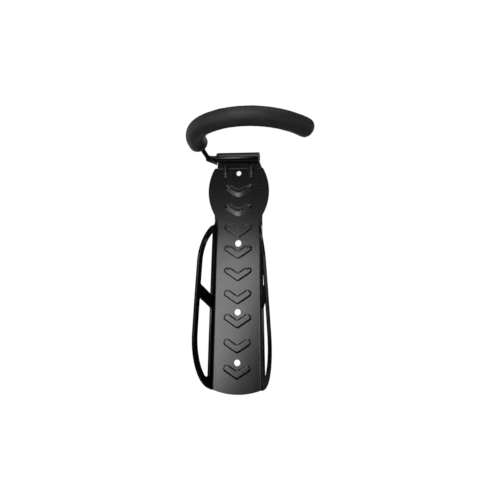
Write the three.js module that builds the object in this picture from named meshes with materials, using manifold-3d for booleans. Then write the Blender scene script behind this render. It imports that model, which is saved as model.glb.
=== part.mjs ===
// Bicycle wall rack: a pressed steel plate with two flared side guards, a hinge tube welded to its
// top flange, and a foam-covered steel hook that folds up about that tube.
// Millimetres. X runs to the right, Y into the wall and Z up. The plate's back lies on the wall at
// Y = 0, and "depth" below always means the distance out from the wall, so depth = -Y.
import * as THREE from "three";
import { mergeVertices } from "three/addons/utils/BufferGeometryUtils.js";
import Module from "manifold-3d";

const wasm = await Module();
wasm.setup();

// ---------------------------------------------------------------- driving dimensions
const GAP = 0.3;                        // clearance kept between neighbouring pieces
const SHEET = 3.5;                      // plate thickness
const PLATE = {
  headHalf: 39.6, headRadius: 61, headCentre: 124.8,
  neckHalf: 31.2, neckBottom: 94, flatTop: 154.3,
  bottomRadius: 85, bottom: -136.2,
};
const HOLES = [
  { z: 148.2, radius: 3.1 },
  { z: 57.4, radius: 4.2 },
  { z: -31.1, radius: 4.2 },
  { z: -95.6, radius: 4.2 },
];
const CHEVRON = {
  count: 9, first: 120.6, pitch: 24.9, pitchGrowth: 1.18,
  armHalf: 13.4, rise: 9.2, stroke: 7, height: 1, grooveInset: 1.2,
};
const GUARD = {
  top: 82.2, bottom: -130.1,            // where the guard leaves the plate's edge
  faceHalfTop: 28.4, faceHalfBottom: 32.1, // half width of the flat face between the two bends
  insideRadius: 1.5,
  lengthTop: 53.5, lengthBottom: 45.5,      // unrolled length of the section from bend to free edge
  topRound: 0.24, topPower: 2,          // share of the height taken by the rounded top end
  bottomRound: 0.33, bottomPower: 1.82,
  rootFlareTop: 0, rootFlareBottom: 31, // degrees away from square to the plate, at the bend
  edgeFlareTop: 18.5, edgeFlareBottom: 24, // and at the free edge
  rim: 8.4, rootStrip: 6.2,             // strips left around the windows
  strutOuterTop: 5.2, strutRootTop: -9.5, strutDrop: 15.9, webTop: -112.8,
  minimum: 4.3,
};
const FLANGE = {
  angle: 45, insideRadius: 1.2,
  leftRoot: -28.3, rightRoot: 30, leftEnd: -27, rightEnd: 28.3,
};
const DART = { offset: 17, width: 7, bottom: 143.5, top: 158.4, depth: 7 };
const TUBE = { left: -25.5, right: 28.5, outer: 6.5, bore: 4.5, depth: 13, z: 167 };
const ROD = { radius: 3, end: 24.8, elbow: -33, elbowRadius: 6, lean: 5.7, reach: 46.6 };
const HOOK = {
  rise: 17.5,                           // slope of the hook above level when it rests on its stop
  shoulderRadius: 47.5, shoulderHeading: 35,
  backRadius: 90, frontRadius: 86, frontTurn: 55.3,
};
const FOAM = { radius: 12, startBeforeBend: 8, rodShortOfEnd: 7, capRoom: 17, endWall: 3.5 };
const BUSH = { radius: 4.2, length: 15.5, collar: 6.2, collarThick: 1 };
const WELD = { radius: 1.2, margin: 2, lugRadius: 0.9, lugLength: 7 };
const LUG = {
  left: -41, right: TUBE.left - 2 * GAP - BUSH.collarThick,
  bottom: 158.4, leftBottom: 163.3, top: 166.4, back: 10, front: 16.2,
};

const COLOURS = { steel: 0x1b1c1d, nylon: 0x151515, zinc: 0x9a9b9c, foam: 0x18191a, weld: 0x1a1b1c };

// ---------------------------------------------------------------- small helpers
const radians = THREE.MathUtils.degToRad;
const mix = THREE.MathUtils.lerp;

function toSolid(geometry) {
  const bare = new THREE.BufferGeometry();
  bare.setAttribute("position", geometry.attributes.position.clone());
  if (geometry.index) bare.setIndex(geometry.index.clone());
  const merged = mergeVertices(bare, 1e-4);
  return new wasm.Manifold(new wasm.Mesh({
    numProp: 3,
    vertProperties: Float32Array.from(merged.attributes.position.array),
    triVerts: Uint32Array.from(merged.index.array),
  }));
}

function toGeometry(solid) {
  const mesh = solid.simplify(0.02).getMesh();
  const geometry = new THREE.BufferGeometry();
  geometry.setAttribute("position", new THREE.BufferAttribute(mesh.vertProperties, 3));
  geometry.setIndex(new THREE.BufferAttribute(mesh.triVerts, 1));
  return geometry;
}

function mapVertices(geometry, place) {
  const position = geometry.attributes.position;
  const vertex = new THREE.Vector3();
  for (let i = 0; i < position.count; i += 1) {
    vertex.fromBufferAttribute(position, i);
    position.setXYZ(i, ...place(vertex).toArray());
  }
  return geometry;
}

function mirrorX(geometry) {
  const mirrored = geometry.clone().scale(-1, 1, 1);
  const index = mirrored.index.array;
  for (let i = 0; i < index.length; i += 3) {
    [index[i], index[i + 1]] = [index[i + 1], index[i]];
  }
  return mirrored;
}

// A flat shape drawn in (X, Z), given thickness from one depth to another.
function slab(shape, fromDepth, toDepth, curveSegments = 12) {
  const geometry = new THREE.ExtrudeGeometry(shape, {
    depth: toDepth - fromDepth, bevelEnabled: false, curveSegments,
  });
  return geometry.rotateX(Math.PI / 2).translate(0, -fromDepth, 0);
}

// A section drawn in (depth, Z), drawn out along X.
function bar(points, fromX, toX) {
  const shape = new THREE.Shape(points.map(([depth, z]) => new THREE.Vector2(depth, z)));
  const geometry = new THREE.ExtrudeGeometry(shape, { depth: toX - fromX, bevelEnabled: false });
  return mapVertices(geometry, (v) => new THREE.Vector3(toX - v.z, -v.x, v.y));
}

// A turned piece on the hinge axis: the profile lists [radius, x] corners and closes on itself.
function turned(profile, segments = 24) {
  const points = [...profile, profile[0]].map(([radius, x]) => new THREE.Vector2(radius, x));
  const geometry = new THREE.LatheGeometry(points, segments);
  return geometry.rotateZ(-Math.PI / 2).translate(0, -TUBE.depth, TUBE.z);
}

// ---------------------------------------------------------------- the pressed plate
function faceOutline() {
  const { headHalf, headRadius, headCentre, neckHalf, neckBottom, flatTop, bottomRadius, bottom } = PLATE;
  const arcX = headHalf - headRadius;
  const neckAngle = Math.asin((neckBottom - headCentre) / headRadius);
  const topAngle = Math.asin((flatTop - headCentre) / headRadius);
  const edgeTop = GUARD.faceHalfTop - GUARD.insideRadius;
  const edgeBottom = GUARD.faceHalfBottom - GUARD.insideRadius;
  const cornerAngle = Math.asin(edgeBottom / bottomRadius);
  const shape = new THREE.Shape();
  const down = -Math.PI / 2;
  shape.absarc(0, bottom + bottomRadius, bottomRadius, down - cornerAngle, down + cornerAngle);
  shape.lineTo(edgeTop, GUARD.top);
  shape.lineTo(neckHalf, GUARD.top);
  shape.absarc(arcX, headCentre, headRadius, neckAngle, topAngle);
  shape.absarc(-arcX, headCentre, headRadius, Math.PI - topAngle, Math.PI - neckAngle);
  shape.lineTo(-neckHalf, GUARD.top);
  shape.lineTo(-edgeTop, GUARD.top);
  for (const { z, radius } of HOLES) {
    const hole = new THREE.Path();
    hole.absarc(0, z, radius, 0, 2 * Math.PI, true);
    shape.holes.push(hole);
  }
  return shape;
}

// Height of each chevron's point, on the centre line of its stroke.
function chevronHeights() {
  const heights = [];
  let z = CHEVRON.first;
  for (let i = 0; i < CHEVRON.count; i += 1) {
    heights.push(z);
    z -= CHEVRON.pitch + CHEVRON.pitchGrowth * i;
  }
  return heights;
}

// A V with round arm ends; "inset" makes its stroke narrower on each side.
function chevronShape(z, inset) {
  const { armHalf, rise, stroke } = CHEVRON;
  const half = stroke / 2 - inset;
  const slope = Math.atan2(rise, armHalf);
  const across = new THREE.Vector2(Math.sin(slope), -Math.cos(slope)).multiplyScalar(half);
  const point = half / Math.cos(slope);
  const shape = new THREE.Shape();
  shape.moveTo(0, z - point);
  shape.lineTo(armHalf + across.x, z + rise + across.y);
  shape.absarc(armHalf, z + rise, half, slope - Math.PI / 2, slope + Math.PI / 2);
  shape.lineTo(0, z + point);
  shape.lineTo(-armHalf + across.x, z + rise - across.y);
  shape.absarc(-armHalf, z + rise, half, Math.PI / 2 - slope, 1.5 * Math.PI - slope);
  shape.closePath();
  return shape;
}

// Unrolled length of a guard's section at height z: a D shape with rounded top and bottom ends.
function guardLength(z) {
  const { topRound, topPower, bottomRound, bottomPower } = GUARD;
  const down = (GUARD.top - z) / (GUARD.top - GUARD.bottom);
  const intoTop = THREE.MathUtils.clamp(1 - down / topRound, 0, 1);
  const intoBottom = THREE.MathUtils.clamp((down - 1 + bottomRound) / bottomRound, 0, 1);
  const roundedTop = (1 - intoTop ** topPower) ** (1 / topPower);
  const roundedBottom = (1 - intoBottom ** bottomPower) ** (1 / bottomPower);
  const full = mix(GUARD.lengthTop, GUARD.lengthBottom, down);
  return Math.max(GUARD.minimum, full * roundedTop * roundedBottom);
}

function bendLength(z) {
  const down = (GUARD.top - z) / (GUARD.top - GUARD.bottom);
  const turn = radians(90 - mix(GUARD.rootFlareTop, GUARD.rootFlareBottom, down));
  return turn * (GUARD.insideRadius + SHEET / 2);
}

// A point of the right-hand guard: "along" is the distance round the section from the bend's start,
// "outward" the distance off the sheet's middle surface. Past the bend the section is one long curve,
// from the flare at the bend to the flare at the free edge.
function guardPoint(z, along, outward) {
  const down = (GUARD.top - z) / (GUARD.top - GUARD.bottom);
  const middleRadius = GUARD.insideRadius + SHEET / 2;
  const rootFlare = radians(mix(GUARD.rootFlareTop, GUARD.rootFlareBottom, down));
  const edgeFlare = radians(mix(GUARD.edgeFlareTop, GUARD.edgeFlareBottom, down));
  const turn = Math.PI / 2 - rootFlare;
  const bend = turn * middleRadius;
  const start = mix(GUARD.faceHalfTop, GUARD.faceHalfBottom, down) - GUARD.insideRadius;
  const heading = THREE.MathUtils.clamp(along / middleRadius, 0, turn);
  let x = start + Math.min(along, 0) + middleRadius * Math.sin(heading);
  let depth = SHEET / 2 + middleRadius * (1 - Math.cos(heading));
  let direction = heading;
  if (along > bend) {
    const curvature = (rootFlare - edgeFlare) / (mix(GUARD.lengthTop, GUARD.lengthBottom, down) - bend);
    const middle = turn + (curvature * (along - bend)) / 2;
    direction = turn + curvature * (along - bend);
    x += (along - bend) * Math.cos(middle);
    depth += (along - bend) * Math.sin(middle);
  }
  return new THREE.Vector3(x + outward * Math.sin(direction), -(depth - outward * Math.cos(direction)), z);
}

// The window's outer edge keeps a rim's width inside the guard's free edge.
function rimPoint(z) {
  const slope = (guardLength(z + 0.1) - guardLength(z - 0.1)) / 0.2;
  const stretch = Math.hypot(1, slope);
  return [guardLength(z) - GUARD.rim / stretch, z + (GUARD.rim * slope) / stretch];
}

// Windows are drawn on the unrolled guard as (along, z) and wrapped round it as cutters.
function windowShape(fromZ, toZ, lowerEdge, upperEdge) {
  const steps = 22;
  const root = (z) => bendLength(z) + GUARD.rootStrip;
  const left = [];
  const right = [];
  for (let i = 0; i <= steps; i += 1) {
    const [rim, z] = rimPoint(mix(fromZ, toZ, i / steps));
    if (rim - root(z) < 1) continue;
    left.push([root(z), z]);
    right.push([rim, z]);
  }
  const outline = [...left, ...right.reverse()].map(([along, z]) => {
    const across = (along - root(0)) / (GUARD.lengthTop - GUARD.rim - root(0));
    return new THREE.Vector2(along, THREE.MathUtils.clamp(z, lowerEdge(across), upperEdge(across)));
  }).filter((point, i, all) => point.distanceTo(all[(i + 1) % all.length]) > 0.1);
  return new THREE.Shape(outline);
}

function windowCutters() {
  const { top, bottom, webTop, strutOuterTop, strutRootTop, strutDrop } = GUARD;
  const strutTop = (across) => mix(strutRootTop, strutOuterTop, across);
  const strutBottom = (across) => strutTop(across) - strutDrop;
  const shapes = [
    windowShape(top - 1, strutRootTop, strutTop, () => top),
    windowShape(strutOuterTop - strutDrop, bottom + 1, () => webTop, strutBottom),
  ];
  const reach = 3 * SHEET;
  return shapes.map((shape) => {
    const cutter = new THREE.ExtrudeGeometry(shape, { depth: reach, bevelEnabled: false });
    return mapVertices(cutter, (v) => guardPoint(v.y, v.x, reach / 2 - v.z));
  });
}

function rightGuard() {
  const columns = 9;
  const rows = 26;
  const patch = new THREE.BoxGeometry(1, 1, 1, columns, rows, 1);
  mapVertices(patch, (v) => {
    const fromRoot = (v.x + 0.5) ** 2;
    const down = (1 - Math.cos(Math.PI * (0.5 - v.y))) / 2;
    const z = mix(GUARD.top, GUARD.bottom, down);
    return guardPoint(z, mix(-1, guardLength(z), fromRoot), -v.z * SHEET);
  });
  return patch;
}

// The top flange past its bend, in (depth, z): where its middle surface starts, which way it runs and
// which way its front faces.
function flangeFrame() {
  const middleRadius = FLANGE.insideRadius + SHEET / 2;
  const turn = radians(FLANGE.angle);
  return {
    start: new THREE.Vector2(
      SHEET / 2 + middleRadius * (1 - Math.cos(turn)), PLATE.flatTop + middleRadius * Math.sin(turn)),
    along: new THREE.Vector2(Math.sin(turn), Math.cos(turn)),
    front: new THREE.Vector2(Math.cos(turn), -Math.sin(turn)),
  };
}

// The top flange leans out from the wall to meet the hinge tube.
function flange() {
  const middleRadius = FLANGE.insideRadius + SHEET / 2;
  const turn = radians(FLANGE.angle);
  const { start, along: lean } = flangeFrame();
  const toAxis = new THREE.Vector2(TUBE.depth, TUBE.z).sub(start);
  const sideways = toAxis.cross(lean);
  const straight = toAxis.dot(lean) - Math.sqrt((TUBE.outer + GAP + 0.2) ** 2 - sideways ** 2);
  const bend = turn * middleRadius;
  const patch = new THREE.BoxGeometry(1, 1, 1, 1, 8, 1);
  return mapVertices(patch, (v) => {
    const along = mix(-1, bend + straight, v.y + 0.5);
    const angle = THREE.MathUtils.clamp(along / middleRadius, 0, turn);
    const past = Math.max(along - bend, 0);
    const before = Math.min(along, 0);
    const outward = v.z * SHEET;
    const depth = SHEET / 2 + middleRadius * (1 - Math.cos(angle)) + past * Math.sin(angle);
    const z = PLATE.flatTop + before + middleRadius * Math.sin(angle) + past * Math.cos(angle);
    const share = Math.max(along, 0) / (bend + straight);
    const left = mix(FLANGE.leftRoot, FLANGE.leftEnd, share);
    const right = mix(FLANGE.rightRoot, FLANGE.rightEnd, share);
    const x = mix(left, right, v.x + 0.5);
    return new THREE.Vector3(x, -(depth + outward * Math.cos(angle)), z - outward * Math.sin(angle));
  });
}

function backPlate() {
  let plate = toSolid(slab(faceOutline(), 0, SHEET, 14));
  let guard = toSolid(rightGuard());
  for (const cutter of windowCutters()) {
    guard = guard.subtract(toSolid(cutter));
  }
  const guardGeometry = toGeometry(guard);
  plate = plate.add(guard).add(toSolid(mirrorX(guardGeometry)));
  plate = plate.add(toSolid(flange()));
  for (const x of [-DART.offset, DART.offset]) {
    const corners = [
      [SHEET - 1, DART.bottom], [SHEET, DART.bottom], [DART.depth, DART.top], [SHEET - 1, DART.top],
    ];
    plate = plate.add(toSolid(bar(corners, x - DART.width / 2, x + DART.width / 2)));
  }
  for (const z of chevronHeights()) {
    const rib = slab(chevronShape(z, 0), SHEET - 1, SHEET + CHEVRON.height, 4);
    const groove = slab(chevronShape(z, CHEVRON.grooveInset), -1, CHEVRON.height, 3);
    plate = plate.add(toSolid(rib)).subtract(toSolid(groove));
  }
  return toGeometry(plate);
}

// ---------------------------------------------------------------- the hinge
function hingeTube() {
  const { left, right, outer, bore } = TUBE;
  return turned([[bore, left], [outer, left], [outer, right], [bore, right]], 32);
}

// A weld bead along X; it sits in the corner between the flange and the tube.
function tubeWeld(front) {
  const { start, along, front: facing } = flangeFrame();
  const axis = new THREE.Vector2(TUBE.depth, TUBE.z).sub(start);
  const off = (SHEET / 2 + GAP + WELD.radius) * (front ? 1 : -1);
  const fromAxis = TUBE.outer + GAP + WELD.radius;
  const side = axis.dot(facing) - off;
  const travel = axis.dot(along) - Math.sqrt(fromAxis ** 2 - side ** 2);
  const centre = start.addScaledVector(along, travel).addScaledVector(facing, off);
  const length = TUBE.right - TUBE.left - 2 * WELD.margin;
  const bead = new THREE.CylinderGeometry(WELD.radius, WELD.radius, length, 8);
  bead.rotateZ(Math.PI / 2);
  return bead.translate((TUBE.left + TUBE.right) / 2, -centre.x, centre.y);
}

function bushLeft() {
  const inner = ROD.radius + GAP;
  const face = TUBE.left - GAP;
  const end = TUBE.left + BUSH.length;
  return turned([
    [inner, face - BUSH.collarThick], [BUSH.collar, face - BUSH.collarThick], [BUSH.collar, face],
    [BUSH.radius, face], [BUSH.radius, end], [inner, end],
  ]);
}

function bushRight() {
  const inner = ROD.radius + GAP;
  const end = ROD.end - 2.2;
  const start = end - BUSH.length;
  return turned([[inner, start], [BUSH.radius, start], [BUSH.radius, end], [inner, end]]);
}

function pushOnRetainer() {
  const inner = ROD.radius + GAP;
  const from = ROD.end - 1.8;
  return turned([[inner, from], [BUSH.radius - 0.1, from], [BUSH.radius - 0.1, from + 1], [inner, from + 1]]);
}

function tubeEndPlug() {
  const from = ROD.end + 1;
  const to = TUBE.right - 0.3;
  const segments = 20;
  const radius = BUSH.radius;
  const points = [[0, from], [radius, from], [radius, to], [0, to]];
  const profile = points.map(([r, x]) => new THREE.Vector2(r, x));
  const geometry = new THREE.LatheGeometry(profile, segments);
  return geometry.rotateZ(-Math.PI / 2).translate(0, -TUBE.depth, TUBE.z);
}

// ---------------------------------------------------------------- the hook
// The rod is bent in one plane, which holds the hinge axis. In that plane a point is (x, reach), and
// each step of the bend list is [length, turn in degrees to the right].
function bendList() {
  const elbowTurn = 90 - ROD.lean;
  const arc = (radius, turn) => [radius * radians(turn), turn];
  const elbowTop = ROD.elbowRadius * (1 - Math.sin(radians(ROD.lean)));
  const firstHeading = 90 + ROD.lean;
  return [
    [ROD.end - ROD.elbow, 0],
    arc(ROD.elbowRadius, elbowTurn),
    [(ROD.reach - elbowTop) / Math.cos(radians(ROD.lean)), 0],
    arc(HOOK.shoulderRadius, firstHeading - HOOK.shoulderHeading),
    arc(HOOK.backRadius, HOOK.shoulderHeading),
    arc(HOOK.frontRadius, HOOK.frontTurn),
  ];
}

// Point of the hook's centre line at a distance from the retained end.
function hookPoint(distance) {
  let x = ROD.end;
  let reach = 0;
  let heading = 180;
  let left = distance;
  for (const [length, turn] of bendList()) {
    const step = Math.min(left, length);
    const share = step / length;
    const chord = radians(heading - (turn * share) / 2);
    const half = radians((turn * share) / 2);
    const straight = half > 1e-9 ? (step * Math.sin(half)) / half : step;
    x += straight * Math.cos(chord);
    reach += straight * Math.sin(chord);
    heading -= turn * share;
    left -= step;
    if (left <= 0) break;
  }
  const rise = radians(HOOK.rise);
  return new THREE.Vector3(x, -TUBE.depth - reach * Math.cos(rise), TUBE.z + reach * Math.sin(rise));
}

const HOOK_LENGTH = bendList().reduce((sum, [length]) => sum + length, 0);
const FOAM_START = bendList().slice(0, 3).reduce((sum, [length]) => sum + length, 0) - FOAM.startBeforeBend;

class HookLine extends THREE.Curve {
  constructor(from, to) {
    super();
    this.from = from;
    this.to = to;
  }

  getPoint(t, target = new THREE.Vector3()) {
    return target.copy(hookPoint(mix(this.from, this.to, t)));
  }
}

function sweep(radius, from, to, sides, steps) {
  const section = new THREE.Shape();
  for (let i = 0; i < sides; i += 1) {
    const angle = (2 * Math.PI * i) / sides;
    const corner = [radius * Math.cos(angle), radius * Math.sin(angle)];
    if (i === 0) section.moveTo(...corner);
    else section.lineTo(...corner);
  }
  const extrudePath = new HookLine(from, to);
  return new THREE.ExtrudeGeometry(section, { steps, extrudePath, bevelEnabled: false });
}

function hookRod() {
  return sweep(ROD.radius, 0, HOOK_LENGTH - FOAM.rodShortOfEnd, 12, 96);
}

function rodEndCap() {
  const rodEnd = HOOK_LENGTH - FOAM.rodShortOfEnd;
  const outer = toSolid(sweep(ROD.radius + 1.5, rodEnd - 10, rodEnd + 2.5, 14, 6));
  const inner = toSolid(sweep(ROD.radius + GAP, rodEnd - 12, rodEnd + GAP, 12, 6));
  return toGeometry(outer.subtract(inner));
}

function foamGrip() {
  const rodEnd = HOOK_LENGTH - FOAM.rodShortOfEnd;
  const outer = toSolid(sweep(FOAM.radius, FOAM_START, HOOK_LENGTH, 18, 40));
  const bore = toSolid(sweep(ROD.radius + GAP, FOAM_START - 2, rodEnd - 8, 12, 44));
  const pocket = toSolid(sweep(ROD.radius + 1.5 + GAP, HOOK_LENGTH - FOAM.endWall - FOAM.capRoom + 3,
    HOOK_LENGTH - FOAM.endWall, 14, 6));
  return toGeometry(outer.subtract(bore).subtract(pocket));
}

// A wedge welded under the rod beside the tube; its slanted back bears on the flange as the stop.
function stopLug() {
  const { start, front } = flangeFrame();
  const onFace = start.addScaledVector(front, SHEET / 2 + GAP);
  const slope = Math.tan(radians(FLANGE.angle));
  const heel = onFace.x + (LUG.bottom - onFace.y) * slope;
  const heelTop = onFace.y + (LUG.back - onFace.x) / slope;
  const profile = [
    [heel, LUG.bottom], [LUG.front - 2.7, LUG.bottom], [LUG.front, LUG.bottom + 2.2], [LUG.front, LUG.top],
    [LUG.back, LUG.top], [LUG.back, heelTop],
  ];
  const undercut = new THREE.Shape([
    new THREE.Vector2(LUG.left - 1, LUG.bottom - 2), new THREE.Vector2(LUG.right, LUG.bottom - 2),
    new THREE.Vector2(LUG.right - 3, LUG.bottom), new THREE.Vector2(LUG.left - 1, LUG.leftBottom),
  ]);
  const lug = toSolid(bar(profile, LUG.left, LUG.right)).subtract(toSolid(slab(undercut, 0, 30)));
  const rodRoom = sweep(ROD.radius + GAP, 40, 110, 12, 60);
  return toGeometry(lug.subtract(toSolid(rodRoom)));
}

function lugWeld() {
  const bead = new THREE.CylinderGeometry(WELD.lugRadius, WELD.lugRadius, WELD.lugLength, 8);
  return bead.rotateZ(Math.PI / 2).translate(LUG.right - 4.2, -TUBE.depth - 4.7, TUBE.z - 0.1);
}

// ---------------------------------------------------------------- assembly
function material(colour, roughness, metalness) {
  return new THREE.MeshStandardMaterial({ color: colour, roughness, metalness });
}

const PAINT = material(COLOURS.steel, 0.42, 0.1);
const NYLON = material(COLOURS.nylon, 0.5, 0);
const ZINC = material(COLOURS.zinc, 0.35, 0.9);
const FOAM_RUBBER = material(COLOURS.foam, 0.95, 0);
const WELD_METAL = material(COLOURS.weld, 0.45, 0.1);

const rack = new THREE.Group();

function place(group, name, geometry, finish) {
  const mesh = new THREE.Mesh(geometry, finish);
  mesh.name = name;
  group.add(mesh);
}

const bracket = new THREE.Group();
place(bracket, "back_plate", backPlate(), PAINT);
place(bracket, "hinge_tube", hingeTube(), PAINT);
place(bracket, "tube_weld_front", tubeWeld(true), WELD_METAL);
place(bracket, "tube_weld_rear", tubeWeld(false), WELD_METAL);
place(bracket, "hinge_bush_left", bushLeft(), NYLON);
place(bracket, "hinge_bush_right", bushRight(), NYLON);
place(bracket, "tube_end_plug", tubeEndPlug(), NYLON);

const hook = new THREE.Group();
place(hook, "hook_rod", hookRod(), PAINT);
place(hook, "stop_lug", stopLug(), PAINT);
place(hook, "lug_weld", lugWeld(), WELD_METAL);
place(hook, "push_on_retainer", pushOnRetainer(), ZINC);
place(hook, "rod_end_cap", rodEndCap(), NYLON);
place(hook, "foam_grip", foamGrip(), FOAM_RUBBER);

rack.add(bracket, hook);

export default rack;
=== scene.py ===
"""Bicycle wall rack: a pressed steel plate with side guards and a foam-covered folding hook.

Lengths are in millimetres until a mesh is made, and every mesh is in metres. X runs to the right, Y into
the wall and Z up. "Depth" is the distance out from the wall, so depth = -Y.
"""
import math

import bmesh
import bpy
import numpy as np
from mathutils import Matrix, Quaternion, Vector, noise
from mathutils.geometry import delaunay_2d_cdt

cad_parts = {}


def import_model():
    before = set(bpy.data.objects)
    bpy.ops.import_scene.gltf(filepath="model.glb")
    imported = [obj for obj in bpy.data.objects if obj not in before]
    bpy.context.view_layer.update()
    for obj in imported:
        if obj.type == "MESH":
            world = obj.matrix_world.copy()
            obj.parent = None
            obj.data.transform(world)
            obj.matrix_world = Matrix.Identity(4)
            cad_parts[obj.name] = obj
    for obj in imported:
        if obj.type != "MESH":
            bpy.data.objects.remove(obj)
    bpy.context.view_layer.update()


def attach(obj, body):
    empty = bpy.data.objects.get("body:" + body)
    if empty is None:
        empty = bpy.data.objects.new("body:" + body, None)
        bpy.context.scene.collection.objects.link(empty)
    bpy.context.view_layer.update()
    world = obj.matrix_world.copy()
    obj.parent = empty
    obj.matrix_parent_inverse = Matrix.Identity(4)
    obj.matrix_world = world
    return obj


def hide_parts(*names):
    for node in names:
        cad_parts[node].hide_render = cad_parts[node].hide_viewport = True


MM = 0.001

# ---------------------------------------------------------------- sizes shared with the CAD
SHEET = 3.5
HEAD = {"half": 39.6, "radius": 61.0, "centre": 124.8, "neck": 31.2, "neck_z": 94.0}
FLAT_TOP = 154.3
BOTTOM = {"radius": 85.0, "lowest": -136.2}
HOLES = ((148.2, 3.1), (57.4, 4.2), (-31.1, 4.2), (-95.6, 4.2))
CHEVRON = {"count": 9, "first": 120.6, "pitch": 24.9, "growth": 1.18, "arm": 13.4, "rise": 9.2}
GUARD = {
    "top": 82.2, "bottom": -130.1, "face_top": 28.4, "face_bottom": 32.1, "inside": 1.5,
    "length_top": 53.5, "length_bottom": 45.5, "top_round": 0.24, "top_power": 2.0,
    "bottom_round": 0.33, "bottom_power": 1.82, "root_flare": (0.0, 31.0), "edge_flare": (18.5, 24.0),
    "rim": 8.4, "root_strip": 6.2, "minimum": 4.3, "window_corner": 3.2,
    "strut_outer": 5.2, "strut_root": -9.5, "strut_drop": 15.9, "web_top": -112.8,
}
FLANGE = {"angle": 45.0, "inside": 1.2, "root": (28.3, 30.0), "end": (27.0, 28.3)}
DART = {"offset": 17.0, "half_width": 3.1, "bottom": 143.5, "top": 160.0}
TUBE = {"left": -25.5, "right": 28.5, "outer": 6.5, "bore": 4.5, "depth": 13.0, "z": 167.0}
ROD = {"radius": 3.0, "end": 24.8, "elbow": -33.0, "elbow_radius": 6.0, "lean": 5.7, "reach": 46.6}
HOOK = {"rise": 17.5, "shoulder": 47.5, "shoulder_heading": 35.0, "back": 90.0, "front": 86.0, "turn": 55.3}
FOAM = {"radius": 12.1, "before_bend": 8.0, "rod_short": 7.0}  # 0.1 mm thicker than its CAD solid
LUG = {
    "left": -41.0, "right": -27.1, "bottom": 158.4, "left_bottom": 163.3,
    "top": 166.4, "back": 10.0, "front": 16.2,
}

# ---------------------------------------------------------------- finer shape than the CAD has
EDGE_ROUND = 0.6
EDGE_STEP = 1.1
FACE_STEP, GUARD_STEP = 0.95, 2.1
FINE_PAST_BEND = 7.0
BEND_FADES_ABOVE, BEND_FULL_BELOW = 8.0, 3.0  # distances from the guards' top

# The first "soft" chevrons slope gently to their lower edge; the others have an even wall all round.
PRESSED = {
    "half_width": 4.4, "height": 0.45, "wall": 1.3, "lower_wall": 1.5, "point_round": 1.2,
    "soft": 2, "soft_wall": 0.5, "soft_top": 0.6, "soft_slope": 4.8, "soft_point_round": 4.0,
    "end_squash": 1.3, "past_point": 8.0,
}
DIMPLE = {"chevrons": 5, "depth": 0.8, "radius": 1.25, "past_end": 0.6, "across": 2.8}
DART_RIDGE = {"power": 1.12, "crest": 0.05, "foot": 1.1, "tip": 0.12}
FOAM_ENDS = {"start_round": 3.4, "tip_length": 7.5, "tip_drop": 6.5}


def smoothstep(low, high, value):
    t = np.clip((value - low) / (high - low), 0, 1)
    return t * t * (3 - 2 * t)


def mix(a, b, t):
    return a + (b - a) * t


# ---------------------------------------------------------------- the sheet: its flat blank
def guard_share(z):
    return (GUARD["top"] - z) / (GUARD["top"] - GUARD["bottom"])


def guard_start(z):
    share = np.clip(guard_share(z), 0, 1)
    return mix(GUARD["face_top"], GUARD["face_bottom"], share) - GUARD["inside"]


def bend_length(z):
    share = np.clip(guard_share(z), 0, 1)
    return np.radians(90 - mix(*GUARD["root_flare"], share)) * (GUARD["inside"] + SHEET / 2)


def guard_length(z):
    share = guard_share(z)
    top = np.clip(1 - share / GUARD["top_round"], 0, 1)
    bottom = np.clip((share - 1 + GUARD["bottom_round"]) / GUARD["bottom_round"], 0, 1)
    rounded = (1 - top ** GUARD["top_power"]) ** (1 / GUARD["top_power"])
    rounded = rounded * (1 - bottom ** GUARD["bottom_power"]) ** (1 / GUARD["bottom_power"])
    return np.maximum(GUARD["minimum"], mix(GUARD["length_top"], GUARD["length_bottom"], share) * rounded)


def head_half(z):
    return HEAD["half"] - HEAD["radius"] + np.sqrt(HEAD["radius"] ** 2 - (z - HEAD["centre"]) ** 2)


def flange_top():
    return FLAT_TOP + flange_lengths()[0] + flange_lengths()[1]


def flange_lengths():
    """Bend length and straight length of the top flange's middle surface."""
    turn = math.radians(FLANGE["angle"])
    middle = FLANGE["inside"] + SHEET / 2
    start = np.array([SHEET / 2 + middle * (1 - math.cos(turn)), FLAT_TOP + middle * math.sin(turn)])
    to_axis = np.array([TUBE["depth"], TUBE["z"]]) - start
    lean = np.array([math.sin(turn), math.cos(turn)])
    sideways = to_axis[0] * lean[1] - to_axis[1] * lean[0]
    straight = to_axis @ lean - math.sqrt((TUBE["outer"] + 0.5) ** 2 - sideways ** 2)
    return middle * turn, straight


def resample(points, step):
    """The same polyline with points at even distances, keeping its ends."""
    points = np.asarray(points, float)
    lengths = np.r_[0, np.cumsum(np.hypot(*np.diff(points, axis=0).T))]
    count = max(2, int(round(lengths[-1] / step)) + 1)
    at = np.linspace(0, lengths[-1], count)
    return np.column_stack([np.interp(at, lengths, points[:, k]) for k in (0, 1)])


def fillet(points, radius, sharp=25.0):
    """Rounds each corner of a closed polygon that turns by more than "sharp" degrees."""
    points = np.asarray(points, float)
    count = len(points)
    rounded = []
    for i in range(count):
        here, before, after = points[i], points[i - 1], points[(i + 1) % count]
        a, b = before - here, after - here
        la, lb = np.hypot(*a), np.hypot(*b)
        turn = math.pi - math.acos(np.clip((a @ b) / (la * lb), -1, 1))
        if math.degrees(turn) < sharp:
            rounded.append(here)
            continue
        reach = min(radius * math.tan(turn / 2), 0.48 * la, 0.48 * lb)
        for t in np.linspace(0, 1, 7):
            start, end = here + a / la * reach, here + b / lb * reach
            rounded.append((1 - t) ** 2 * start + 2 * t * (1 - t) * here + t * t * end)
    return np.array(rounded)


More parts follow.
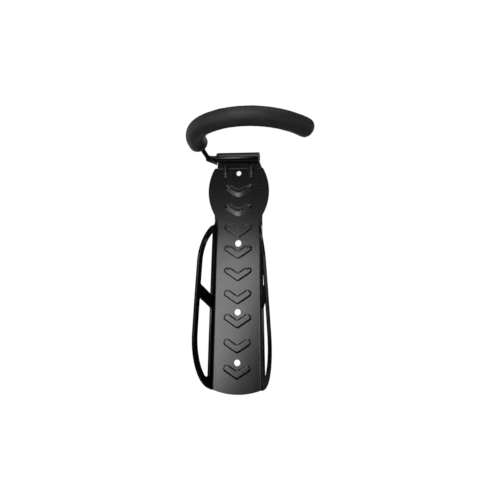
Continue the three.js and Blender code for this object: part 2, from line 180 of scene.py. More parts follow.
def blank_half(side):
    """Half of the blank's edge, from the lowest point up to the middle of the top flange: 0 is left."""
    root, end = FLANGE["root"][side], FLANGE["end"][side]
    corner = guard_start(GUARD["bottom"])
    radius, lowest = BOTTOM["radius"], BOTTOM["lowest"]
    s = np.linspace(0, corner, 24)
    arc = np.column_stack([s, lowest + radius - np.sqrt(radius ** 2 - s ** 2)])
    share = (1 - np.cos(np.linspace(0, np.pi, 400))) / 2
    z = mix(GUARD["bottom"], GUARD["top"], share)
    wing = np.column_stack([guard_start(z) + guard_length(z), z])
    neck = np.array([[HEAD["neck"], GUARD["top"] + 1], [HEAD["neck"], HEAD["neck_z"] - 1]])
    z = np.linspace(HEAD["neck_z"], FLAT_TOP, 60)
    head = np.vstack([np.column_stack([head_half(z), z]), [head_half(FLAT_TOP) - 0.6, FLAT_TOP + 0.9]])
    top = flange_top()
    flange = np.array([[root, FLAT_TOP + 0.9], [end, top - 1.2], [end - 0.4, top - 0.4],
                       [end - 1.2, top], [0, top]])
    return resample(np.vstack([arc, wing, neck, head, flange]), EDGE_STEP)


def window_outlines():
    """The right guard's two windows on the blank, as closed polygons."""
    z = np.linspace(GUARD["top"] - 0.5, GUARD["bottom"] + 0.5, 500)
    length = guard_length(z)
    slope = np.gradient(length, z)
    norm = np.hypot(1, slope)
    rim = np.column_stack([length - GUARD["rim"] / norm, z + GUARD["rim"] * slope / norm])
    root = lambda at: bend_length(at) + GUARD["root_strip"]
    across = lambda along: (along - root(0)) / (GUARD["length_top"] - GUARD["rim"] - root(0))
    strut = lambda along: mix(GUARD["strut_root"], GUARD["strut_outer"], across(along))
    inside = rim[:, 0] > root(rim[:, 1])
    upper = rim[inside & (rim[:, 1] > strut(rim[:, 0]))]
    below_strut = rim[:, 1] < strut(rim[:, 0]) - GUARD["strut_drop"]
    lower = rim[inside & below_strut & (rim[:, 1] > GUARD["web_top"])]
    root_top = np.array([root(upper[0, 1]), upper[0, 1]])
    foot = GUARD["strut_root"] - GUARD["strut_drop"]
    upper = np.vstack([upper, [root(GUARD["strut_root"]), GUARD["strut_root"]], root_top])
    lower = np.vstack([lower, [root(GUARD["web_top"]), GUARD["web_top"]], [root(foot), foot]])
    outlines = []
    for window in (upper, lower):
        closed = resample(np.vstack([window, window[:1]]), 1.0)[:-1]
        corners = fillet(simplify(closed), GUARD["window_corner"])
        outlines.append(np.column_stack([guard_start(corners[:, 1]) + corners[:, 0], corners[:, 1]]))
    return outlines


def simplify(points, tolerance=0.04):
    """Drops the points of a closed polygon that lie on the line between their neighbours."""
    kept = []
    for i in range(len(points)):
        before = kept[-1] if kept else points[i - 1]
        after = points[(i + 1) % len(points)]
        line = after - before
        off = points[i] - before
        if abs(line[0] * off[1] - line[1] * off[0]) / max(np.hypot(*line), 1e-9) > tolerance:
            kept.append(points[i])
    return np.array(kept)


def circle(radius, centre, count):
    angle = np.linspace(0, 2 * np.pi, count, endpoint=False)
    return np.column_stack([radius * np.cos(angle), centre + radius * np.sin(angle)])


def blank_loops():
    """All edges of the blank: the outline first, then windows and holes."""
    left, right = blank_half(0), blank_half(1)
    outline = np.vstack([right, (left * (-1, 1))[-2:0:-1]])
    loops = [outline]
    for window in window_outlines():
        even = resample(np.vstack([window, window[:1]]), EDGE_STEP)[:-1]
        loops.append(even)
        loops.append((even * (-1, 1))[::-1])
    loops += [circle(radius, z, 40) for z, radius in HOLES]
    return [loop if signed_area(loop) > 0 else loop[::-1] for loop in loops]


def signed_area(loop):
    x, y = loop.T
    return 0.5 * np.sum(x * np.roll(y, -1) - np.roll(x, -1) * y)


def inside_loop(points, loop):
    inside = np.zeros(len(points), bool)
    for a, b in zip(loop, np.roll(loop, -1, axis=0)):
        crosses = (a[1] > points[:, 1]) != (b[1] > points[:, 1])
        at = a[0] + (points[:, 1] - a[1]) * (b[0] - a[0]) / (b[1] - a[1] + 1e-12)
        inside ^= crosses & (points[:, 0] < at)
    return inside


def on_sheet(points, loops):
    on = inside_loop(points, loops[0])
    for loop in loops[1:]:
        on &= ~inside_loop(points, loop)
    return on


def hex_grid(low, high, step):
    rows = np.arange(low[1], high[1], step * 0.866)
    columns = np.arange(low[0], high[0], step)
    s, z = np.meshgrid(columns, rows)
    s = s + np.where(np.arange(len(rows)) % 2, step / 2, 0)[:, None]
    return np.column_stack([s.ravel(), z.ravel()])


def blank_points(loops):
    """Inner points of the blank: fine on the face and round the bends, coarser on the guards."""
    low, high = loops[0].min(0), loops[0].max(0)
    fine, coarse = hex_grid(low, high, FACE_STEP), hex_grid(low, high, GUARD_STEP)
    by_bend = lambda p: np.abs(p[:, 0]) < guard_start(p[:, 1]) + FINE_PAST_BEND
    near = lambda p: by_bend(p) | (p[:, 1] > GUARD["top"] - 2)
    points = np.vstack([fine[near(fine)], coarse[~near(coarse)]])
    points = points[on_sheet(points, loops)]
    edge = np.vstack(loops)
    clear = np.array([np.min(np.hypot(*(edge - p).T)) > EDGE_ROUND + 0.35 for p in points])
    return points[clear]


# ---------------------------------------------------------------- the sheet: folding and pressing
def fold_guards(s, z):
    """Where a blank point goes once the guards are bent: x and depth of the middle surface."""
    share = np.clip(guard_share(z), 0, 1)
    middle = GUARD["inside"] + SHEET / 2
    root_flare = np.radians(mix(*GUARD["root_flare"], share))
    edge_flare = np.radians(mix(*GUARD["edge_flare"], share))
    turn = np.pi / 2 - root_flare
    bend = turn * middle
    start = guard_start(z)
    along = np.maximum(np.abs(s) - start, 0)
    heading = np.minimum(along / middle, turn)
    past = np.maximum(along - bend, 0)
    curvature = (root_flare - edge_flare) / (mix(GUARD["length_top"], GUARD["length_bottom"], share) - bend)
    direction = turn + curvature * past / 2
    x = np.minimum(np.abs(s), start) + middle * np.sin(heading) + past * np.cos(direction)
    depth = SHEET / 2 + middle * (1 - np.cos(heading)) + past * np.sin(direction)
    bent = smoothstep(GUARD["top"] + BEND_FADES_ABOVE, GUARD["top"] - BEND_FULL_BELOW, z)
    return np.sign(s) * mix(np.abs(s), x, bent), mix(SHEET / 2, depth, bent)


def fold_flange(z):
    """Depth and height of a blank point above the face, round the top flange's bend."""
    middle = FLANGE["inside"] + SHEET / 2
    turn = math.radians(FLANGE["angle"])
    along = np.maximum(z - FLAT_TOP, 0)
    angle = np.minimum(along / middle, turn)
    past = np.maximum(along - middle * turn, 0)
    depth = SHEET / 2 + middle * (1 - np.cos(angle)) + past * math.sin(turn)
    height = np.minimum(z, FLAT_TOP) + middle * np.sin(angle) + past * math.cos(turn)
    return depth, height


def chevron_heights():
    z = CHEVRON["first"]
    for i in range(CHEVRON["count"]):
        yield z
        z -= CHEVRON["pitch"] + CHEVRON["growth"] * i


def chevron_profile(along, across, length, soft):
    """One chevron's height over its own arm, as a share of the full height."""
    half = PRESSED["half_width"]
    past_end = np.maximum(along - length, 0) * PRESSED["end_squash"]
    above = np.hypot(past_end, np.maximum(across, 0))
    below = np.hypot(past_end, np.minimum(across - (PRESSED["soft_top"] if soft else 0), 0))
    wall = PRESSED["soft_wall"] if soft else PRESSED["wall"]
    upper = smoothstep(half - wall, half + 0.2, above)
    if soft:
        lower = np.clip(below / PRESSED["soft_slope"], 0, 1)
    else:
        lower = smoothstep(half - PRESSED["lower_wall"], half + 0.4, below)
    return np.where(along > -PRESSED["past_point"], np.minimum(1 - upper, 1 - lower), 0)


def pressed_height(s, z):
    """How far the face is pressed forward: nine chevrons, the upper ones with a dimple at each arm's end."""
    length = math.hypot(CHEVRON["arm"], CHEVRON["rise"])
    along_x, along_z = CHEVRON["arm"] / length, CHEVRON["rise"] / length
    height = np.zeros_like(s)
    for i, point in enumerate(chevron_heights()):
        soft = i < PRESSED["soft"]
        blunt = PRESSED["soft_point_round"] if soft else PRESSED["point_round"]
        dx, dz = np.hypot(s, blunt) - 0.3 * blunt, z - point
        along = dx * along_x + dz * along_z
        across = dz * along_x - dx * along_z
        ridge = chevron_profile(along, across, length, soft)
        height = np.maximum(height, PRESSED["height"] * ridge)
        if i < DIMPLE["chevrons"]:
            off_end = (along - length - DIMPLE["past_end"]) ** 2 + (across - DIMPLE["across"]) ** 2
            height = height - DIMPLE["depth"] * np.exp(-np.minimum(off_end / DIMPLE["radius"] ** 2, 30))
    return height


def sheet_surface(s, z):
    """Middle surface of the finished plate, before its thickness, in (x, y, z)."""
    x, depth = fold_guards(s, z)
    flange_depth, height = fold_flange(z)
    depth = np.where(z > GUARD["top"] + BEND_FADES_ABOVE, flange_depth, depth)
    depth = depth + pressed_height(s, z)
    share = np.clip((z - DART["bottom"]) / (DART["top"] - DART["bottom"]), 0, 1)
    end_depth, end_height = fold_flange(np.array([DART["top"]]))
    dart_depth = mix(SHEET / 2, end_depth[0], share ** DART_RIDGE["power"])
    dart_height = mix(DART["bottom"], end_height[0], share)
    across = np.abs(np.abs(s) - DART["offset"]) / DART["half_width"]
    ridge = 1 - smoothstep(DART_RIDGE["crest"], DART_RIDGE["foot"], across)
    ridge = ridge * smoothstep(0, DART_RIDGE["tip"], share) * (share < 1)
    depth = mix(depth, np.maximum(depth, dart_depth), ridge)
    height = mix(height, dart_height, ridge)
    return np.column_stack([x, -depth, height])


def unit(vectors):
    return vectors / np.maximum(np.linalg.norm(vectors, axis=1, keepdims=True), 1e-12)


def sheet_frame(points):
    """Middle-surface points with their two tangents and front normals."""
    s, z = points.T
    step = 0.05
    across = (sheet_surface(s + step, z) - sheet_surface(s - step, z)) / (2 * step)
    upward = (sheet_surface(s, z + step) - sheet_surface(s, z - step)) / (2 * step)
    return sheet_surface(s, z), across, upward, unit(np.cross(across, upward))


def loop_outward(loop, hole):
    """Direction off the metal at each point of an edge, on the blank."""
    tangent = np.roll(loop, -1, axis=0) - np.roll(loop, 1, axis=0)
    outward = unit(np.column_stack([tangent[:, 1], -tangent[:, 0]]))
    return -outward if hole else outward


def plate_mesh():
    loops = blank_loops()
    inner = blank_points(loops)
    points = np.vstack([*loops, inner])
    starts = np.cumsum([0] + [len(loop) for loop in loops])
    edges = []
    for start, loop in zip(starts, loops):
        count = len(loop)
        edges += [(start + i, start + (i + 1) % count) for i in range(count)]
    flat = delaunay_2d_cdt([Vector(p) for p in points], edges, [], 0, 1e-5, False)
    points = np.array([tuple(v) for v in flat[0]])
    triangles = np.array(flat[2])
    triangles = triangles[on_sheet(points[triangles].mean(1), loops)]
    a, b, c = points[triangles].transpose(1, 0, 2)
    clockwise = np.cross(b - a, c - a) < 0
    triangles[clockwise] = triangles[clockwise][:, ::-1]

    place, across, upward, normal = sheet_frame(points)
    inset = np.zeros_like(place)
    outward = np.zeros_like(place)
    for k, (start, loop) in enumerate(zip(starts, loops)):
        ids = np.arange(start, start + len(loop))
        off = loop_outward(loop, k > 0)
        outward[ids] = unit(off[:, :1] * across[ids] + off[:, 1:] * upward[ids])
        inset[ids] = outward[ids] * EDGE_ROUND
    front = place - inset + normal * SHEET / 2
    back = place - inset - normal * SHEET / 2
    count = len(points)
    vertices, normals = [front, back], [normal, -normal]
    faces = [tuple(t) for t in triangles] + [tuple(t[::-1] + count) for t in triangles]

    rim_angles = np.radians([30, 60, 90, 90, 120, 150])
    for k, (start, loop) in enumerate(zip(starts, loops)):
        ids = np.arange(start, start + len(loop))
        rows = [ids]
        for i, angle in enumerate(rim_angles):
            lift = (SHEET / 2 - EDGE_ROUND) * (1 if i < 3 else -1)
            centre = place[ids] - inset[ids] + normal[ids] * lift
            facing = outward[ids] * math.sin(angle) + normal[ids] * math.cos(angle)
            rows.append(np.arange(len(ids)) + sum(len(v) for v in vertices))
            vertices.append(centre + facing * EDGE_ROUND)
            normals.append(facing)
        rows.append(ids + count)
        for upper, lower in zip(rows, rows[1:]):
            for i in range(len(ids)):
                j = (i + 1) % len(ids)
                quad = (upper[i], lower[i], lower[j], upper[j])
                faces.append(quad[::-1] if k > 0 else quad)
    return np.vstack(vertices), faces, np.vstack(normals)


# ---------------------------------------------------------------- mesh helpers
def make_object(name, vertices, faces, normals=None):
    mesh = bpy.data.meshes.new(name)
    mesh.from_pydata((np.asarray(vertices) * MM).tolist(), [], [tuple(int(i) for i in f) for f in faces])
    mesh.validate()
    mesh.shade_smooth()
    if normals is not None:
        mesh.normals_split_custom_set_from_vertices(normals.tolist())
    thing = bpy.data.objects.new(name, mesh)
    bpy.context.scene.collection.objects.link(thing)
    return thing


def ring_faces(rings, sides, closed=False):
    faces = []
    for r in range(rings if closed else rings - 1):
        for i in range(sides):
            j = (i + 1) % sides
            a, b = r * sides, ((r + 1) % rings) * sides
            faces.append((a + i, b + i, b + j, a + j))
    return faces


def round_profile(corners, radius, steps=4):
    """A closed (radius, x) profile with its corners rounded."""
    corners = np.asarray(corners, float)
    points = []
    for i, here in enumerate(corners):
        a, b = corners[i - 1] - here, corners[(i + 1) % len(corners)] - here
        la, lb = np.hypot(*a), np.hypot(*b)
        reach = min(radius, 0.45 * la, 0.45 * lb)
        start, end = here + a / la * reach, here + b / lb * reach
        for t in np.linspace(0, 1, steps + 1):
            points.append((1 - t) ** 2 * start + 2 * t * (1 - t) * here + t * t * end)
    return np.array(points)


def lathe(name, corners, radius=0.35, sides=64):
    """A turned ring on the hinge axis from its (radius, x) profile."""
    profile = round_profile(corners, radius)
    angle = np.linspace(0, 2 * np.pi, sides, endpoint=False)
    rows = []
    for r, x in profile:
        rows.append(np.column_stack([np.full(sides, x), -TUBE["depth"] + r * np.sin(angle),
                                     TUBE["z"] + r * np.cos(angle)]))
    thing = make_object(name, np.vstack(rows), ring_faces(len(rows), sides, closed=True))
    fix_normals(thing)
    return thing


def fix_normals(thing):
    work = bmesh.new()
    work.from_mesh(thing.data)
    bmesh.ops.remove_doubles(work, verts=work.verts, dist=1e-7)
    bmesh.ops.recalc_face_normals(work, faces=work.faces)
    work.to_mesh(thing.data)
    work.free()


def bevel_edges(thing, width, sharp=30.0):
    work = bmesh.new()
    work.from_mesh(thing.data)
    edges = [e for e in work.edges if e.is_manifold and e.calc_face_angle() > math.radians(sharp)]
    bmesh.ops.bevel(work, geom=edges, offset=width * MM, segments=3, profile=0.6, affect="EDGES")
    bmesh.ops.recalc_face_normals(work, faces=work.faces)
    work.to_mesh(thing.data)
    work.free()
    thing.data.shade_smooth()


# ---------------------------------------------------------------- the hook
def bend_list():
    lean = math.radians(ROD["lean"])
    arc = lambda radius, turn: (radius * math.radians(turn), turn)
    straight = (ROD["reach"] - ROD["elbow_radius"] * (1 - math.sin(lean))) / math.cos(lean)
    return [
        (ROD["end"] - ROD["elbow"], 0.0),
        arc(ROD["elbow_radius"], 90 - ROD["lean"]),
        (straight, 0.0),
        arc(HOOK["shoulder"], 90 + ROD["lean"] - HOOK["shoulder_heading"]),
        arc(HOOK["back"], HOOK["shoulder_heading"]),
        arc(HOOK["front"], HOOK["turn"]),
    ]


HOOK_LENGTH = sum(length for length, _ in bend_list())
FOAM_START = sum(length for length, _ in bend_list()[:3]) - FOAM["before_bend"]


def hook_point(distance):
    """Point on the bar's centre line and its direction, at a distance from the retained end."""
    x, reach, heading, left = ROD["end"], 0.0, 180.0, distance
    for length, turn in bend_list():
        step = min(left, length)
        part = turn * step / length
        half = math.radians(part / 2)
        chord = math.radians(heading - part / 2)
        straight = step * math.sin(half) / half if half > 1e-9 else step
        x += straight * math.cos(chord)
        reach += straight * math.sin(chord)
        heading -= part
        left -= step
        if left <= 0:
            break
    rise = math.radians(HOOK["rise"])
    outward = Vector((0, -math.cos(rise), math.sin(rise)))
    point = Vector((x, -TUBE["depth"], TUBE["z"])) + outward * reach
    direction = Vector((math.cos(math.radians(heading)), 0, 0)) + outward * math.sin(math.radians(heading))
    return point, direction


def sweep_hook(name, stations, sides, bump=None):
    """A round bar along the hook: stations are (distance, radius); it closes on itself at both ends."""
    rise = math.radians(HOOK["rise"])
    up = Vector((0, math.sin(rise), math.cos(rise)))
    rows = []
    for distance, radius in stations:
        point, direction = hook_point(distance)
        sideways = direction.cross(up)
        for i in range(sides):
            angle = 2 * math.pi * i / sides
            facing = up * math.cos(angle) + sideways * math.sin(angle)
            spot = point + facing * radius
            rows.append(spot + facing * bump(spot) if bump else spot)
    faces = ring_faces(len(stations), sides)
    count = len(rows)
    faces.append(tuple(range(sides)))
    faces.append(tuple(range(count - sides, count)))
    thing = make_object(name, [tuple(r) for r in rows], faces)
    fix_normals(thing)
    return thing


def foam_stations():
    """Foam sleeve with soft rims: a ring round the bar at its start and a blunt round tip."""
    radius = FOAM["radius"]
    start, end = FOAM_START, HOOK_LENGTH
    stations = [(start + 6, 3.35), (start + 1.2, 3.45), (start + 0.3, 3.9), (start, 4.8)]
    soft = FOAM_ENDS["start_round"]
    stations += [(start + 0.05, radius - soft)]
    for angle in np.radians(np.arange(15, 91, 15)):
        stations.append((start + soft * (1 - math.cos(angle)), radius - soft + soft * math.sin(angle)))
    stations += [(d, radius) for d in np.linspace(start + soft + 1.5, end - 9, 150)]
    blunt, drop = FOAM_ENDS["tip_length"], FOAM_ENDS["tip_drop"]
    for angle in np.radians(np.arange(10, 81, 10)):
        stations.append((end - blunt + blunt * math.sin(angle), radius - drop + drop * math.cos(angle)))
    stations += [(end - 0.03, radius * 0.3), (end, 0.6)]
    return stations


def foam_bump(spot):
    broad = noise.fractal(spot * 0.09, 0.6, 2.1, 3) * 0.16
    return broad + noise.noise(spot * 0.9) * 0.03


def build_foam():
    return sweep_hook("foam_sleeve", foam_stations(), 48, foam_bump)


def build_rod():
    end = HOOK_LENGTH - FOAM["rod_short"]
    radius = ROD["radius"]
    near = [(0.0, radius - 0.5), (0.15, radius - 0.25), (0.5, radius)]
    straight = [(d, radius) for d in np.linspace(6, ROD["end"] - ROD["elbow"], 8)]
    bent = [(d, radius) for d in np.linspace(ROD["end"] - ROD["elbow"] + 0.6, FOAM_START + 14, 60)]
    rest = [(d, radius) for d in np.linspace(FOAM_START + 18, end, 50)]
    return sweep_hook("hook_bar", near + straight + bent + rest, 32)


def build_rod_cap():
    end = HOOK_LENGTH - FOAM["rod_short"]
    stations = [(end - 10, 3.32), (end - 10, 4.1), (end - 9.6, 4.5)]
    stations += [(d, 4.5) for d in np.linspace(end - 8, end + 1.5, 6)] + [(end + 2.3, 4.1), (end + 2.5, 3.2)]
    return sweep_hook("bar_end_cap", stations, 24)


# ---------------------------------------------------------------- the lug and the welds
def flange_frame():
    """Start of the flat flange's middle surface, its direction and its front, in (depth, z)."""
    turn = math.radians(FLANGE["angle"])
    middle = FLANGE["inside"] + SHEET / 2
    start = np.array([SHEET / 2 + middle * (1 - math.cos(turn)), FLAT_TOP + middle * math.sin(turn)])
    return start, np.array([math.sin(turn), math.cos(turn)]), np.array([math.cos(turn), -math.sin(turn)])


def build_lug():
    """A wedge under the bar: deep beside the tube, thin at its far end, its back slanted like the flange."""
    start, _, facing = flange_frame()
    on_face = start + facing * (SHEET / 2 + 0.3)
    slope = math.tan(math.radians(FLANGE["angle"]))
    heel_at = lambda z: on_face[0] + (z - on_face[1]) * slope
    vertices = []
    for x, bottom in ((LUG["left"], LUG["left_bottom"]), (LUG["right"], LUG["bottom"])):
        heel = max(heel_at(bottom), LUG["back"]) if bottom > 161 else heel_at(bottom)
        knee = max(on_face[1] + (LUG["back"] - on_face[0]) / slope, bottom + 0.6)
        section = [(heel, bottom), (LUG["front"] - 2.7, bottom), (LUG["front"], bottom + 1.4),
                   (LUG["front"], LUG["top"]), (LUG["back"], LUG["top"]), (LUG["back"], knee)]
        vertices += [(x, -depth, z) for depth, z in section]
    faces = [tuple(range(6)), tuple(range(6, 12))]
    faces += [(i, (i + 1) % 6, (i + 1) % 6 + 6, i + 6) for i in range(6)]
    lug = make_object("stop_wedge", vertices, faces)
    fix_normals(lug)
    bevel_edges(lug, 0.55)
    return lug


def build_bead(name, start, end, radius, pitch):
    """A weld bead: overlapping puddles along a line."""
    start, end = Vector(start), Vector(end)
    axis = (end - start).normalized()
    side = axis.orthogonal().normalized()
    other = axis.cross(side)
    length = (end - start).length
    count, sides = max(6, int(length / 0.35)), 16
    rows = []
    for i in range(count + 1):
        along = i / count
        puddle = 0.86 + 0.14 * abs(math.sin(math.pi * along * length / pitch))
        cap = math.sqrt(max(0.0, 1 - max(0, 1 - min(along, 1 - along) * length / radius) ** 2))
        for k in range(sides):
            angle = 2 * math.pi * k / sides
            facing = side * math.cos(angle) + other * math.sin(angle)
            spot = start + axis * along * length
            reach = radius * puddle * max(cap, 0.15) * (1 + 0.12 * noise.noise(spot * 0.8 + facing))
            rows.append(tuple(spot + facing * reach))
    faces = ring_faces(count + 1, sides)
    faces += [tuple(range(sides)), tuple(range(count * sides, (count + 1) * sides))]
    bead = make_object(name, rows, faces)
    fix_normals(bead)
    return bead


def build_tube_welds():
    start, along, facing = flange_frame()
    radius = 1.2
    axis = np.array([TUBE["depth"], TUBE["z"]]) - start
    beads = []
    for name, sign in (("front_weld", 1), ("rear_weld", -1)):
        off = (SHEET / 2 + 0.3 + radius) * sign
        side = axis @ facing - off
        travel = axis @ along - math.sqrt((TUBE["outer"] + 0.3 + radius) ** 2 - side ** 2)
        depth, z = start + along * travel + facing * off
        left, right = (TUBE["left"] + 2, -depth, z), (TUBE["right"] - 2, -depth, z)
        beads.append(build_bead(name, left, right, 1.55, 2.3))
    return beads


def build_lug_weld():
    return build_bead("wedge_weld", (-35.0, -17.7, 166.9), (-28.2, -17.7, 166.9), 1.0, 1.9)


# ---------------------------------------------------------------- materials
def new_material(name):
    material = bpy.data.materials.new(name)
    material.use_nodes = True
    nodes = material.node_tree.nodes
    return material, nodes, material.node_tree.links, nodes["Principled BSDF"]


def noise_node(nodes, links, coordinates, scale, detail=3.0, roughness=0.55):
    node = nodes.new("ShaderNodeTexNoise")
    node.inputs["Scale"].default_value = scale
    node.inputs["Detail"].default_value = detail
    node.inputs["Roughness"].default_value = roughness
    links.new(coordinates, node.inputs["Vector"])
    return node.outputs["Fac"]


def ramp_node(nodes, links, value, stops):
    node = nodes.new("ShaderNodeValToRGB")
    for element, (position, colour) in zip(node.color_ramp.elements, stops):
        element.position = position
        element.color = (*colour, 1)
    links.new(value, node.inputs["Fac"])
    return node.outputs["Color"]


def range_node(nodes, links, value, low, high):
    node = nodes.new("ShaderNodeMapRange")
    node.inputs["From Min"].default_value = 0.3
    node.inputs["From Max"].default_value = 0.7
    node.inputs["To Min"].default_value = low
    node.inputs["To Max"].default_value = high
    links.new(value, node.inputs["Value"])
    return node.outputs["Result"]


def bump_node(nodes, links, height, distance, strength=1.0, base=None):
    node = nodes.new("ShaderNodeBump")
    node.inputs["Distance"].default_value = distance
    node.inputs["Strength"].default_value = strength
    links.new(height, node.inputs["Height"])
    if base is not None:
        links.new(base, node.inputs["Normal"])
    return node.outputs["Normal"]


def powder_coat(name, colour=(0.0045, 0.0047, 0.005), roughness=(0.16, 0.18), lumps=0.00001):
    """Satin black powder coat: fine orange peel, faint clouding and a slightly uneven gloss."""
    material, nodes, links, shader = new_material(name)
    place = nodes.new("ShaderNodeTexCoord").outputs["Object"]
    peel = noise_node(nodes, links, place, 900, 2.0)
    cloud = noise_node(nodes, links, place, 38, 4.0)
    dark = tuple(c * 0.88 for c in colour)
    light = tuple(c * 1.14 for c in colour)
    links.new(ramp_node(nodes, links, cloud, ((0.35, dark), (0.65, light))), shader.inputs["Base Color"])
    links.new(range_node(nodes, links, cloud, *roughness), shader.inputs["Roughness"])
    links.new(bump_node(nodes, links, peel, lumps, 0.6), shader.inputs["Normal"])
    shader.inputs["Specular IOR Level"].default_value = 0.5
    return material


def foam_rubber():
    """Black closed-cell foam: matt skin, fine cells and soft mottling."""
    material, nodes, links, shader = new_material("foam_rubber")
    place = nodes.new("ShaderNodeTexCoord").outputs["Object"]
    cells = noise_node(nodes, links, place, 1100, 3.0, 0.7)
    grain = noise_node(nodes, links, place, 330, 4.0, 0.65)
    mottle = noise_node(nodes, links, place, 70, 4.0)
    colour = ramp_node(nodes, links, mottle, ((0.3, (0.026, 0.0265, 0.0275)), (0.7, (0.042, 0.0428, 0.044))))
    links.new(colour, shader.inputs["Base Color"])
    links.new(range_node(nodes, links, grain, 0.44, 0.56), shader.inputs["Roughness"])
    lumps = bump_node(nodes, links, grain, 0.00018, 0.5)
    links.new(bump_node(nodes, links, cells, 0.00010, 0.5, lumps), shader.inputs["Normal"])
    shader.inputs["Sheen Weight"].default_value = 0.06
    shader.inputs["Sheen Roughness"].default_value = 0.5
    return material


def nylon():
    material, nodes, links, shader = new_material("nylon")
    place = nodes.new("ShaderNodeTexCoord").outputs["Object"]
    grain = noise_node(nodes, links, place, 1500, 2.0)
    colour = ramp_node(nodes, links, grain, ((0.3, (0.012,) * 3), (0.7, (0.02,) * 3)))
    links.new(colour, shader.inputs["Base Color"])
    links.new(range_node(nodes, links, grain, 0.45, 0.55), shader.inputs["Roughness"])
    links.new(bump_node(nodes, links, grain, 0.00002, 0.5), shader.inputs["Normal"])
    return material


def zinc():
    material, nodes, links, shader = new_material("zinc")
    place = nodes.new("ShaderNodeTexCoord").outputs["Object"]
    streak = noise_node(nodes, links, place, 600, 3.0)
    colour = ramp_node(nodes, links, streak, ((0.3, (0.5, 0.51, 0.53)), (0.7, (0.68, 0.69, 0.7))))
    links.new(colour, shader.inputs["Base Color"])
    links.new(range_node(nodes, links, streak, 0.25, 0.4), shader.inputs["Roughness"])
    shader.inputs["Metallic"].default_value = 1.0
    return material


def pale_floor():
    material, _, _, shader = new_material("pale_floor")
    shader.inputs["Base Color"].default_value = (0.85, 0.85, 0.85, 1)
    shader.inputs["Roughness"].default_value = 0.8
    return material


# ---------------------------------------------------------------- studio
CAMERA = {
    "target": (15.1, 0.0, 49.0), "azimuth": 9.5, "elevation": -4.0, "distance": 1200.0,
    "lens": 67.1, "roll": 0.48,
}
FLOOR = {"radius": 0.9, "z": -1.2}  # metres


def add_camera():
    data = bpy.data.cameras.new("camera")
    data.lens = CAMERA["lens"]
    data.sensor_width = 36
    camera = bpy.data.objects.new("camera", data)
    bpy.context.scene.collection.objects.link(camera)
    a, e = math.radians(CAMERA["azimuth"]), math.radians(CAMERA["elevation"])
    back = Vector((math.sin(a) * math.cos(e), -math.cos(a) * math.cos(e), math.sin(e)))
    camera.location = (Vector(CAMERA["target"]) + back * CAMERA["distance"]) * MM
    roll = Quaternion((0, 0, 1), math.radians(CAMERA["roll"]))
    camera.rotation_mode = "QUATERNION"
    camera.rotation_quaternion = (-back).to_track_quat("-Z", "Y") @ roll
    bpy.context.scene.camera = camera


def add_area(name, place, aim, size, radiance, turn=0.0):
    """A soft rectangular light; "turn" is its roll in degrees and radiance its brightness when seen."""
    data = bpy.data.lights.new(name, "AREA")
    data.shape = "RECTANGLE"
    data.size, data.size_y = size
    data.energy = radiance * size[0] * size[1] * math.pi
    light = bpy.data.objects.new(name, data)
    bpy.context.scene.collection.objects.link(light)
    light.location = place
    light.rotation_mode = "QUATERNION"
    roll = Quaternion((0, 0, 1), math.radians(turn))
    light.rotation_quaternion = (Vector(aim) - Vector(place)).to_track_quat("-Z", "Y") @ roll
    light.visible_camera = False
    return light


def add_lights():
    """Soft panels in front for the photographed side, and dim ones at the sides and behind, in metres."""
    add_area("front_strip", (-0.256, -1.10, -0.043), (0, 0, 0), (0.163, 0.387), 6.55, -19.7)
    add_area("upper_front", (-0.17, -0.95, 0.60), (0.0, -0.05, 0.17), (0.50, 0.40), 3.6)
    add_area("upper_soft", (-0.15, -0.75, 0.85), (0.0, -0.05, 0.17), (0.60, 0.50), 0.9)
    add_area("head_strip", (-0.185, -1.10, 0.225), (0, 0, 0.14), (0.16, 0.06), 0.35)
    add_area("overhead", (0.05, -0.20, 0.95), (0.02, -0.05, 0.17), (0.60, 0.40), 1.0)
    add_area("left_fill", (-0.85, -0.80, 0.05), (0, 0, 0.02), (0.16, 0.9), 2.6)
    add_area("right_fill", (0.62, -1.15, 0.02), (0, 0, 0.02), (0.22, 0.9), 1.2)
    add_area("right_side", (1.3, 0.2, 0.1), (0, 0, 0), (1.2, 1.2), 0.4)
    add_area("left_side", (-1.3, 0.2, 0.1), (0, 0, 0), (1.2, 1.2), 0.4)
    add_area("rear_soft", (0, 1.2, 0.0), (0, 0, 0), (2.8, 1.4), 0.6)


def add_world():
    """White to the camera, and a dim even grey to everything else."""
    world = bpy.data.worlds.new("studio")
    world.use_nodes = True
    bpy.context.scene.world = world
    nodes, links = world.node_tree.nodes, world.node_tree.links
    seen = nodes["Background"]
    seen.inputs["Color"].default_value = (1, 1, 1, 1)
    seen.inputs["Strength"].default_value = 1.02
    fill = nodes.new("ShaderNodeBackground")
    fill.inputs["Color"].default_value = (1, 1, 1, 1)
    fill.inputs["Strength"].default_value = 0.02
    path = nodes.new("ShaderNodeLightPath")
    blend = nodes.new("ShaderNodeMixShader")
    links.new(path.outputs["Is Camera Ray"], blend.inputs[0])
    links.new(fill.outputs[0], blend.inputs[1])
    links.new(seen.outputs[0], blend.inputs[2])
    links.new(blend.outputs[0], nodes["World Output"].inputs["Surface"])


def add_floor(material):
    """A round pale floor well below the rack."""
    work = bmesh.new()
    bmesh.ops.create_circle(work, cap_ends=True, radius=FLOOR["radius"], segments=96)
    mesh = bpy.data.meshes.new("floor")
    work.to_mesh(mesh)
    work.free()
    floor = bpy.data.objects.new("floor", mesh)
    bpy.context.scene.collection.objects.link(floor)
    floor.location = (0, 0, FLOOR["z"])
    mesh.materials.append(material)


# ---------------------------------------------------------------- assembly
def dress(thing, material, slot, body, *nodes):
    thing.data.materials.clear()
    thing.data.materials.append(material)
    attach(thing, body)
    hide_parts(*nodes)


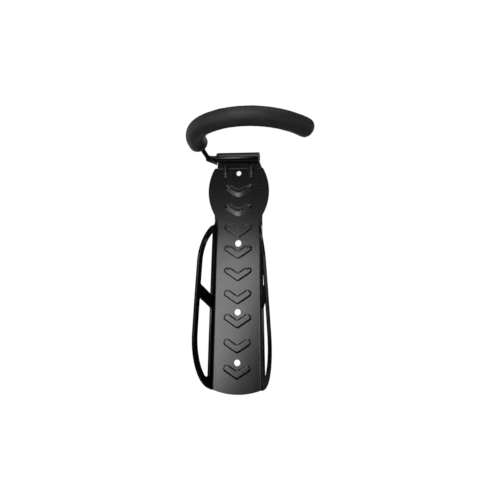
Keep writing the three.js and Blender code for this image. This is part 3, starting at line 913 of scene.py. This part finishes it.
def main():
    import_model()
    add_camera()
    add_lights()
    add_world()
    bpy.context.scene.view_settings.view_transform = "Standard"

    paint = powder_coat("steel_paint")
    weld_paint = powder_coat("weld_paint", roughness=(0.20, 0.24), lumps=0.00002)
    plastic, plating, foam_skin = nylon(), zinc(), foam_rubber()
    add_floor(pale_floor())

    plate = make_object("pressed_plate", *plate_mesh())
    dress(plate, paint, "steel_paint", "bracket", "back_plate")
    tube = lathe("welded_tube", [(TUBE["bore"], TUBE["left"]), (TUBE["outer"], TUBE["left"]),
                                 (TUBE["outer"], TUBE["right"]), (TUBE["bore"], TUBE["right"])])
    dress(tube, paint, "steel_paint", "bracket", "hinge_tube")
    front, rear = build_tube_welds()
    dress(front, weld_paint, "weld_paint", "bracket", "tube_weld_front")
    dress(rear, weld_paint, "weld_paint", "bracket", "tube_weld_rear")

    face = TUBE["left"] - 0.3
    left_bush = lathe("left_bush", [(3.3, face - 1), (6.2, face - 1), (6.2, face), (4.2, face),
                                    (4.2, TUBE["left"] + 15.5), (3.3, TUBE["left"] + 15.5)], 0.2)
    dress(left_bush, plastic, "nylon", "bracket", "hinge_bush_left")
    end = ROD["end"] - 2.2
    right_bush = lathe("right_bush", [(3.3, end - 15.5), (4.2, end - 15.5), (4.2, end), (3.3, end)], 0.2)
    dress(right_bush, plastic, "nylon", "bracket", "hinge_bush_right")
    plug_from, plug_to = ROD["end"] + 1, TUBE["right"] - 0.3
    plug = lathe("end_plug", [(0.01, plug_from), (4.2, plug_from), (4.2, plug_to), (0.01, plug_to)], 0.4)
    dress(plug, plastic, "nylon", "bracket", "tube_end_plug")

    dress(build_rod(), paint, "steel_paint", "hook", "hook_rod")
    dress(build_lug(), paint, "steel_paint", "hook", "stop_lug")
    dress(build_lug_weld(), weld_paint, "weld_paint", "hook", "lug_weld")
    clip_from = ROD["end"] - 1.8
    clip_to = clip_from + 1
    clip = lathe("spring_clip", [(3.3, clip_from), (4.1, clip_from), (4.1, clip_to), (3.3, clip_to)], 0.2)
    dress(clip, plating, "zinc", "hook", "push_on_retainer")
    dress(build_rod_cap(), plastic, "nylon", "hook", "rod_end_cap")
    foam = build_foam()
    dress(foam, foam_skin, "foam_rubber", "hook", "foam_grip")

    bpy.context.view_layer.update()


main()
